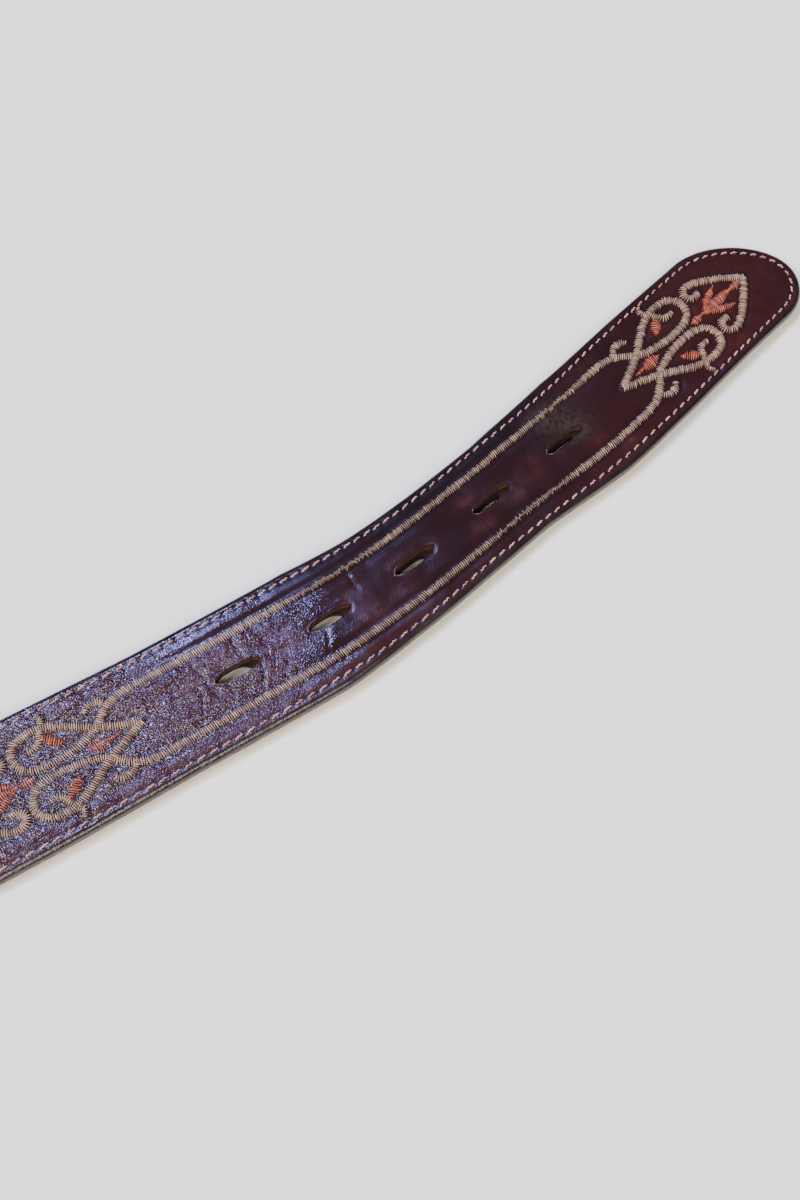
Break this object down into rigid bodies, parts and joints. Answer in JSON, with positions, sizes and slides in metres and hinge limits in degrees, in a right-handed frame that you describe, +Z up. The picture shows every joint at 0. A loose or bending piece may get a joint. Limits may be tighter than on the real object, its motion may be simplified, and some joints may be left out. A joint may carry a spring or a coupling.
{
  "type": "leather belt",
  "caption": "Embroidered leather dress belt, laid out flat: two stitched leathers, oblong slots, rounded tip, keeper and frame buckle with a prong.",
  "frame": {"origin": "bottom centre of the belt's box as it lies flat, face up", "axes": "+X along the strap from the buckle towards the tip, +Y across it to the left, +Z up out of the face"},
  "size_m": [1.074, 0.0692, 0.011],
  "materials": {
    "face_leather": "glossy, worn",
    "lining_leather": "matte",
    "filler_leather": "matte",
    "tan_thread": "satin",
    "orange_thread": "satin",
    "perimeter_thread": "satin",
    "brass": "aged satin",
    "plated_steel": "brass plated, satin"
  },
  "bodies": {
    "tip_length": {"face_1": "face_leather", "filler_1": "filler_leather", "lining_1": "lining_leather", "scroll_1": "tan_thread", "ogive_1": "tan_thread", "petals_1": "orange_thread"},
    "strap_length_2": {"face_2": "face_leather", "filler_2": "filler_leather", "lining_2": "lining_leather", "scroll_2": "tan_thread", "ogive_2": "tan_thread", "petals_2": "orange_thread"},
    "strap_length_3": {"face_3": "face_leather", "filler_3": "filler_leather", "lining_3": "lining_leather", "scroll_3": "tan_thread", "ogive_3": "tan_thread", "petals_3": "orange_thread"},
    "strap_length_4": {"face_4": "face_leather", "filler_4": "filler_leather", "lining_4": "lining_leather", "scroll_4": "tan_thread", "ogive_4": "tan_thread", "petals_4": "orange_thread"},
    "strap_length_5": {"face_5": "face_leather", "filler_5": "filler_leather", "lining_5": "lining_leather", "scroll_5": "tan_thread", "ogive_5": "tan_thread", "petals_5": "orange_thread"},
    "strap_length_6": {"face_6": "face_leather", "filler_6": "filler_leather", "lining_6": "lining_leather", "scroll_6": "tan_thread", "ogive_6": "tan_thread", "petals_6": "orange_thread"},
    "strap_length_7": {"face_7": "face_leather", "filler_7": "filler_leather", "lining_7": "lining_leather", "scroll_7": "tan_thread", "ogive_7": "tan_thread", "petals_7": "orange_thread"},
    "buckle_end_length": {"face_8": "face_leather", "filler_8": "filler_leather", "lining_8": "lining_leather", "scroll_8": "tan_thread", "ogive_8": "tan_thread", "petals_8": "orange_thread", "buckle_fold": "face_leather", "keeper": "face_leather"},
    "buckle": {"buckle_frame": "brass", "buckle_bar": "plated_steel"},
    "prong": {"prong": "plated_steel"}
  },
  "joints": [
    {"name": "strap_bend_1", "type": "hinge", "parent": "tip_length", "child": "strap_length_2", "pos_m": [0.42048, -0.00449, 0.002], "axis": [-0.2021, 0.9794, 0], "range_deg": [-40, 40], "stiffness_Nm_per_rad": 0.02},
    {"name": "strap_bend_2", "type": "hinge", "parent": "strap_length_2", "child": "strap_length_3", "pos_m": [0.28144, -0.01156, 0.002], "axis": [0, 1, 0], "range_deg": [-40, 40], "stiffness_Nm_per_rad": 0.02},
    {"name": "strap_bend_3", "type": "hinge", "parent": "strap_length_3", "child": "strap_length_4", "pos_m": [0.15544, -0.01156, 0.002], "axis": [0, 1, 0], "range_deg": [-40, 40], "stiffness_Nm_per_rad": 0.02},
    {"name": "strap_bend_4", "type": "hinge", "parent": "strap_length_4", "child": "strap_length_5", "pos_m": [0.02944, -0.01156, 0.002], "axis": [0, 1, 0], "range_deg": [-40, 40], "stiffness_Nm_per_rad": 0.02},
    {"name": "strap_bend_5", "type": "hinge", "parent": "strap_length_5", "child": "strap_length_6", "pos_m": [-0.09656, -0.01156, 0.002], "axis": [0, 1, 0], "range_deg": [-40, 40], "stiffness_Nm_per_rad": 0.02},
    {"name": "strap_bend_6", "type": "hinge", "parent": "strap_length_6", "child": "strap_length_7", "pos_m": [-0.22256, -0.01156, 0.002], "axis": [0, 1, 0], "range_deg": [-40, 40], "stiffness_Nm_per_rad": 0.02},
    {"name": "strap_bend_7", "type": "hinge", "parent": "strap_length_7", "child": "buckle_end_length", "pos_m": [-0.34856, -0.01156, 0.002], "axis": [0, 1, 0], "range_deg": [-40, 40], "stiffness_Nm_per_rad": 0.02},
    {"name": "buckle_swing", "type": "hinge", "parent": "buckle_end_length", "child": "buckle", "pos_m": [-0.49956, -0.01156, 0.0042], "axis": [0, 1, 0], "range_deg": [-20, 45]},
    {"name": "prong_swing", "type": "hinge", "parent": "buckle", "child": "prong", "pos_m": [-0.49956, -0.01156, 0.0042], "axis": [0, 1, 0], "range_deg": [0, 75]}
  ]
}
